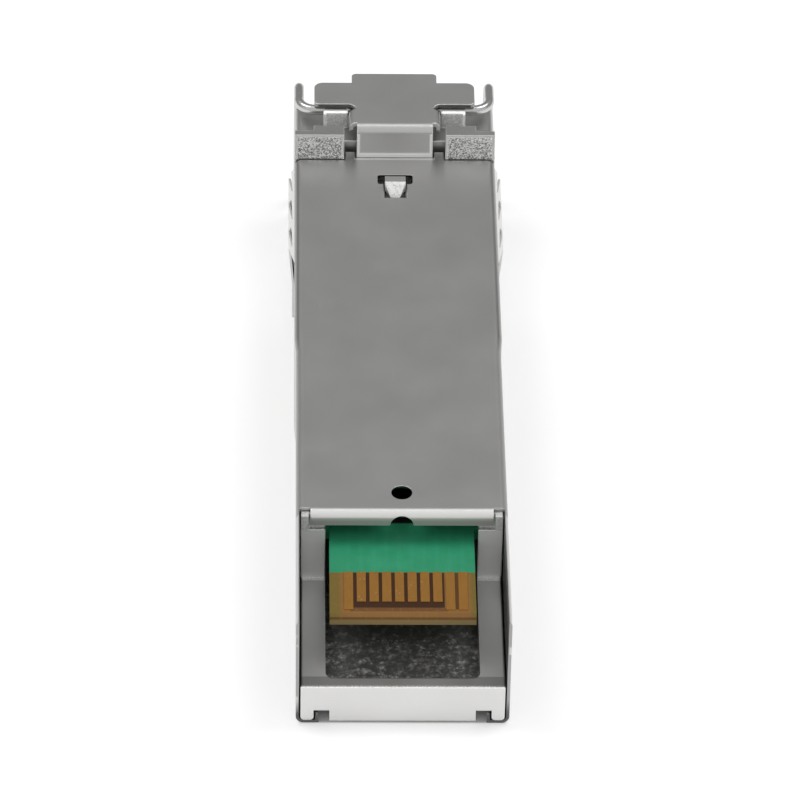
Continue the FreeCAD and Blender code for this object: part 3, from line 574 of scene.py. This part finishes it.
def cast_zinc(name):
    material, shader, place = start_finish(name)
    soft_normal, edges = rounded(place, 0.12)
    sharp_normal = place.node("ShaderNodeNewGeometry", {}, {}, "Normal")
    grains = place.grains(13.0)
    fine = place.noise(9.0, 4.0, 0.75)
    clouds = place.noise(0.35, 3.0, 0.55)
    zone = cast_zones(place, edges)
    # Tone, with painted light: painted highlights on the edges, the foot line, the crest of the end wall
    # and the rims, painted light on the end face and the jambs, and painted shade on the level top of the
    # head
    level = 0.63 * (0.93 + 0.12 * clouds + 0.10 * (fine - 0.5)) + 0.14 * edges
    level = level * (1 - 0.38 * zone.end_ledge) + 0.10 * zone.end_face - 0.18 * zone.head
    level = level + 0.42 * zone.jambs + zone.foot_line * (0.15 + 0.3 * fine.past(0.5, 0.1))
    level = level + zone.blocks * (1.15 * grains - 0.50) + zone.ledge * (0.5 * grains - 0.1)
    level = level + 0.35 * zone.crest * fine.past(0.51, 0.09)
    level = level * (1 - zone.pale) + zone.pale * (0.66 + 0.34 * grains)
    level = level * (1 - zone.rim_highlight) + 0.98 * zone.rim_highlight
    level = level * (1 - zone.tray) + zone.tray * tray_tone(place)
    rough = 0.42 + 0.10 * (clouds - 0.5) + 0.12 * (fine - 0.5) + 0.25 * zone.tray
    metal = (1 - 0.35 * zone.jambs - 0.10 * clouds) * (1 - 0.92 * zone.tray)
    metal = metal * (1 - 0.92 * zone.pale * (1 - zone.rim_highlight)) * (1 - 0.4 * zone.blocks * (1 - zone.edge_highlight))
    # Relief
    coarse = zone.blocks.joined(zone.lugs).joined(zone.strips).joined(zone.ledge)
    relief = (0.20 + 0.3 * zone.tray) * fine + coarse * grains
    normal = zone.brink.joined(zone.tray).turn(soft_normal, sharp_normal)
    normal = zone.edge_highlight.turn(normal, LAMPWARD_EDGE)
    feed(shader, Base_Color=warm_grey(level), Metallic=metal, Roughness=rough,
         Normal=bumped(relief, CAST_RELIEF, normal))
    return material


cast_finish = cast_zinc("cast_zinc")
print("cast finish:", cast_finish.name)

# %% [markdown]
# The bail is drawn wire. Drawing leaves it brighter and smoother than the sheet, so it gets a lower
# roughness and hardly any grain.


# %% Drawn wire
def drawn_wire(name):
    material, shader, place = start_finish(name)
    normal, edges = rounded(place, 0.05)
    grain = place.noise(12.0, 3.0, 0.6)
    # The edges get a faint painted highlight in the tone
    level = 0.60 + 0.06 * (grain - 0.5) + 0.06 * edges
    rough = 0.26 + 0.08 * (grain - 0.5)
    feed(shader, Base_Color=warm_grey(level, blue=0.98), Metallic=1.0, Roughness=rough,
         Normal=bumped(grain, 0.003, normal))
    return material


wire_finish = drawn_wire("drawn_wire")
print("wire finish:", wire_finish.name)

# %% [markdown]
# The board is glass laminate. Green solder mask covers it up to the contacts, and copper runs from the
# contacts show through the mask as slightly lighter lines. Around the contacts the laminate is bare:
# brown between the short ones, where no copper lies under it, redder at the rim of that brown window,
# and olive at the sides. The zones are straight-sided, so comparing the place with a few stations is
# enough.

# %% Colours and zones of the board
TAN = ((0.250, 0.122, 0.030, 1.0), (0.310, 0.158, 0.044, 1.0))
OLIVE = (0.205, 0.142, 0.028, 1.0)
RED_BROWN = (0.160, 0.060, 0.018, 1.0)
DARK_BROWN = (0.055, 0.020, 0.006, 1.0)
EDGE_BROWN = (0.150, 0.058, 0.016, 1.0)
EDGE_PALE = (0.270, 0.200, 0.080, 1.0)
GLASS = (0.330, 0.220, 0.085, 1.0)
GREEN = ((0.024, 0.285, 0.128, 1.0), (0.046, 0.385, 0.208, 1.0))
GREEN_OVER_COPPER = (0.060, 0.430, 0.250, 1.0)
SHADE = (0.010, 0.011, 0.010, 1.0)
# Stations along the board, and distances to the sides of its middle
MASK_EDGE = -37.75
INSIDE = -32.98
SHORT_GAPS = (-3.19, 2.63)
SHORT_GAPS_END = -41.11
LONG_GAP = (3.28, 3.50)
LONG_GAP_END = -41.25
RIM_WIDTH = (-3.3, 2.8)
RIM_LENGTH = (-41.45, -41.1)
LEFT_SIDE = -3.95
RIGHT_SIDE = 4.275
EDGE_LINE = (-41.83, -41.70)
EDGE_LINE_HEIGHT = (5.86, 6.06)
BOARD_END = -41.725
LOWER_EDGE = 5.84
# Copper runs, in step with the contacts
CONTACT_PITCH = 0.8
CONTACT_SHIFT = 0.2
RUN_SIDE = 0.27
RUNS_WIDTH = (-4.0, 4.3)


def bare_laminate(place, clouds, weave):
    across, along, height = place.axes()
    short_gaps = across.within(*SHORT_GAPS, 0.03) * along.past(SHORT_GAPS_END, 0.05)
    long_gap = across.within(*LONG_GAP, 0.03) * along.past(LONG_GAP_END, 0.05)
    window = short_gaps.joined(long_gap * 0.75)
    window_rim = across.within(*RIM_WIDTH, 0.1) * along.within(*RIM_LENGTH, 0.05)
    sides = across.short_of(LEFT_SIDE, 0.10).joined(across.past(RIGHT_SIDE, 0.125))
    edge_line = along.within(*EDGE_LINE, 0.03) * height.within(*EDGE_LINE_HEIGHT, 0.03)
    lower_edge = along.short_of(BOARD_END, 0.025) * height.short_of(LOWER_EDGE, 0.04)
    colour = clouds.blend(*TAN)
    colour = sides.blend(colour, OLIVE)
    colour = (0.8 * window_rim).blend(colour, RED_BROWN)
    colour = window.blend(colour, DARK_BROWN)
    colour = (0.6 * edge_line).blend(colour, EDGE_BROWN)
    colour = lower_edge.blend(colour, EDGE_PALE)
    return (0.22 * (1 - window) * weave.past(0.6, 0.1)).blend(colour, GLASS)


def copper_runs(place):
    """Lines in step with the contacts, which keep clear of the board's sides."""
    across = place.axis("X")
    lane = (across - CONTACT_SHIFT).folded(CONTACT_PITCH / 2)
    return lane.past(RUN_SIDE, 0.03) * across.within(*RUNS_WIDTH, 0.05)


print("the board's colours are described")

# %% [markdown]
# The mask lies over the bare laminate, and inside the shell the board is in the shade.


# %% Board laminate
def board_laminate(name):
    material, shader, place = start_finish(name)
    normal, _ = rounded(place, 0.05)
    along = place.axis("Y")
    weave = place.stretched(1.0, 1.0, 0.2).noise(5.0, 3.0, 0.6)
    clouds = place.noise(0.8, 2.0, 0.5)
    runs = copper_runs(place)
    masked = along.past(MASK_EDGE, 0.03)
    green = (0.12 * runs).blend(clouds.blend(*GREEN), GREEN_OVER_COPPER)
    colour = masked.blend(bare_laminate(place, clouds, weave), green)
    colour = along.past(INSIDE, 0.10).blend(colour, SHADE)
    rough = 0.46 - 0.12 * masked + 0.12 * (weave - 0.5)
    relief = weave + 0.5 * runs * masked
    feed(shader, Base_Color=colour, Roughness=rough, Specular_IOR_Level=0.25,
         Normal=bumped(relief, 0.006, normal))
    return material


board_finish = board_laminate("board_laminate")
print("board finish:", board_finish.name)

# %% [markdown]
# The contacts are plated with hard gold. Each time the module is plugged in, the host's springs wipe
# along them, so they carry faint streaks along their length and a few bright flecks.

# %% Gold contacts
FLECK = (0.95, 0.85, 0.60, 1.0)


def gold_contact(name, tone):
    material, shader, place = start_finish(name)
    normal, _ = rounded(place, 0.02)
    streaks = place.stretched(1.0, 0.08, 1.0).noise(14.0, 3.0, 0.6)
    clouds = place.noise(1.2, 2.0, 0.5)
    flecks = (place.grains(15.0) > 0.994) * 0.5
    colour = flecks.blend(two_tones(0.5 * streaks + 0.5 * clouds, tone), FLECK)
    rough = 0.36 + 0.16 * (streaks - 0.5)
    feed(shader, Base_Color=colour, Metallic=1.0, Roughness=rough, Normal=bumped(streaks, 0.002, normal))
    return material


contact_finish = gold_contact("gold_contact", (0.68, 0.335, 0.082))
can_finish = gold_contact("gold_can", (0.66, 0.47, 0.20))
print("gold finishes:", contact_finish.name, can_finish.name)

# %% [markdown]
# Inside are pieces that only show when the module is opened up: ceramic, moulded packages, film and
# ferrite. They are not metal, so one recipe serves them all, with its own colour, gloss and grain.


# %% Inner pieces
def inner_finish(name, tone, gloss, waves):
    material, shader, place = start_finish(name)
    normal, _ = rounded(place, 0.05)
    grain = place.noise(waves, 3.0, 0.6)
    rough = gloss + 0.2 * (grain - 0.5)
    feed(shader, Base_Color=two_tones(grain, tone), Roughness=rough, Normal=bumped(grain, 0.004, normal))
    return material


ceramic_finish = inner_finish("white_ceramic", (0.82, 0.81, 0.77), gloss=0.22, waves=6.0)
film_finish = inner_finish("amber_film", (0.52, 0.26, 0.05), gloss=0.35, waves=3.0)
package_finish = inner_finish("moulded_package", (0.035, 0.035, 0.036), gloss=0.55, waves=12.0)
capacitor_finish = inner_finish("tan_ceramic", (0.42, 0.29, 0.16), gloss=0.45, waves=9.0)
resistor_finish = inner_finish("dark_ceramic", (0.05, 0.05, 0.05), gloss=0.4, waves=9.0)
tantalum_finish = inner_finish("yellow_moulding", (0.52, 0.36, 0.07), gloss=0.5, waves=8.0)
ferrite_finish = inner_finish("grey_ferrite", (0.09, 0.09, 0.095), gloss=0.6, waves=10.0)
print("inner finishes are ready")

# %% [markdown]
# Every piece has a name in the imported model, so one table says which finish each piece gets.

# %% Hand the finishes out
finishes = {
    "shell": shell_finish, "latch_lever": lever_finish, "lever_spring": spring_finish,
    "ground_spring_left": spring_finish, "ground_spring_right": spring_finish,
    "housing": cast_finish, "bail": wire_finish, "circuit_board": board_finish,
    "edge_contacts_latch_side": contact_finish, "edge_contacts_label_side": contact_finish,
    "transmitter_receptacle": wire_finish, "receiver_receptacle": wire_finish,
    "split_sleeve": ceramic_finish, "laser_can": can_finish, "photodiode_can": can_finish,
    "transmitter_flex": film_finish, "receiver_flex": film_finish, "optics_clamp": clamp_finish,
    "laser_driver": package_finish, "limiting_amplifier": package_finish, "controller": package_finish,
    "chip_capacitors": capacitor_finish, "chip_resistors": resistor_finish,
    "bulk_capacitors": tantalum_finish, "ferrite_beads": ferrite_finish,
}
for name, material in finishes.items():
    piece = nodes[name]
    piece.data.materials.clear()
    piece.data.materials.append(material)
print("finished", len(finishes), "of", len(nodes), "pieces")

# %% [markdown]
# One inner piece, the leaf that presses the lever's arm up, gets a merged copy of its own that takes its
# place.

# %% A merged copy of the leaf
MERGE = 0.0001 * MM

stiff_leaf = nodes["lever_spring"]
leaf_mesh = stiff_leaf.data.copy()
corners = bmesh.new()
corners.from_mesh(leaf_mesh)
bmesh.ops.remove_doubles(corners, verts=corners.verts, dist=MERGE)
corners.to_mesh(leaf_mesh)
corners.free()
leaf = bpy.data.objects.new("bending_leaf", leaf_mesh)
leaf.matrix_world = stiff_leaf.matrix_world
scene.collection.objects.link(leaf)
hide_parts("lever_spring")
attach(leaf, "module")
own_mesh(leaf)
print("leaf has", len(leaf_mesh.vertices), "corners")

# %% [markdown]
# The module stands in a small white studio. The floor is white and keeps a soft shadow. The camera and
# shiny surfaces also see a little light of its own added to it, so that the picture's background is
# white without more light on the module. The strip under the module has none of that light, so the
# grooves along its foot stay dark.

# %% Floor
FLOOR_SIZE = 1.6
FLOOR_DROP = 0.02 * MM
FLOOR_TONE = 0.80
FLOOR_GLOW = 0.40
UNDER_HALF = 6.45
UNDER_REAR = -44.9
UNDER_FRONT = 0.5

bpy.ops.object.select_all(action="DESELECT")
bpy.ops.mesh.primitive_plane_add(size=FLOOR_SIZE, location=(0, 0, -FLOOR_DROP))
floor = bpy.context.object
floor.name = "studio_floor"
floor_paint = bpy.data.materials.new("studio_floor")
floor_paint.use_nodes = True
tree = floor_paint.node_tree
tree.nodes.clear()
output = tree.nodes.new("ShaderNodeOutputMaterial")
rays = tree.nodes.new("ShaderNodeLightPath")
seen = Field(tree, rays.outputs["Is Camera Ray"]) + Field(tree, rays.outputs["Is Glossy Ray"])
seen = seen + Field(tree, rays.outputs["Is Transmission Ray"])
across, along, _ = place_on(tree).axes()
under = across.size().short_of(UNDER_HALF, 0.15)
under = under * along.past(UNDER_REAR, 0.1) * along.short_of(UNDER_FRONT, 0.5)
matt = seen.node("ShaderNodeBsdfDiffuse", {}, {"Color": grey(FLOOR_TONE)})
glow_inputs = {"Color": grey(1.0), "Strength": seen * FLOOR_GLOW * (1 - under)}
glow = seen.node("ShaderNodeEmission", {}, glow_inputs)
mixed = seen.node("ShaderNodeAddShader", {}, {0: matt, 1: glow})
tree.links.new(mixed.socket, output.inputs["Surface"])
floor.data.materials.append(floor_paint)
print("floor laid")

# %% [markdown]
# Metal shows what is around it. The walls are grey, a little lighter low down and overhead, so level
# faces come out grey, while upright ones mirror the white floor and come out bright. The camera's side
# is a broad pale screen, which folds and rounded edges pick up. Two soft lamps stand above and behind.

# %% Studio walls and lamps
WALL_TONES = ((0.0, 0.5), (0.15, 0.36), (0.35, 0.295), (0.75, 0.295), (1.0, 0.7))
SCREEN_EDGE = (-0.45, 0.10)
SCREEN_TONE = 0.70
LAMP_SIZE = 0.30
LAMP_POWER = 0.95
LAMP_SIDE, LAMP_BACK, LAMP_HEIGHT = 0.28, 0.14, 0.62

world = bpy.data.worlds.new("studio")
scene.world = world
world.use_nodes = True
tree = world.node_tree
sky = tree.nodes["Background"]
direction = Field(tree, tree.nodes.new("ShaderNodeTexCoord").outputs["Generated"])
stops = [(height, grey(tone)) for height, tone in WALL_TONES]
walls = direction.node("ShaderNodeValToRGB", {"stops": stops}, {"Fac": direction.axis("Z")})
screen = 1 - direction.axis("Y").between(*SCREEN_EDGE)
walls = screen.blend(walls, grey(SCREEN_TONE))
tree.links.new(walls.socket, sky.inputs["Color"])
sky.inputs["Strength"].default_value = 1.0


def soft_lamp(name, side):
    """A square soft box that faces the module's middle."""
    place = (side * LAMP_SIDE, LAMP_BACK, LAMP_HEIGHT)
    bpy.ops.object.light_add(type="AREA", location=place)
    lamp = bpy.context.object
    lamp.name = name
    lamp.data.size = LAMP_SIZE
    lamp.data.energy = LAMP_POWER
    lamp.rotation_euler = (AIM - Vector(place)).to_track_quat("-Z", "Y").to_euler()


soft_lamp("soft_left", -1)
soft_lamp("soft_right", 1)
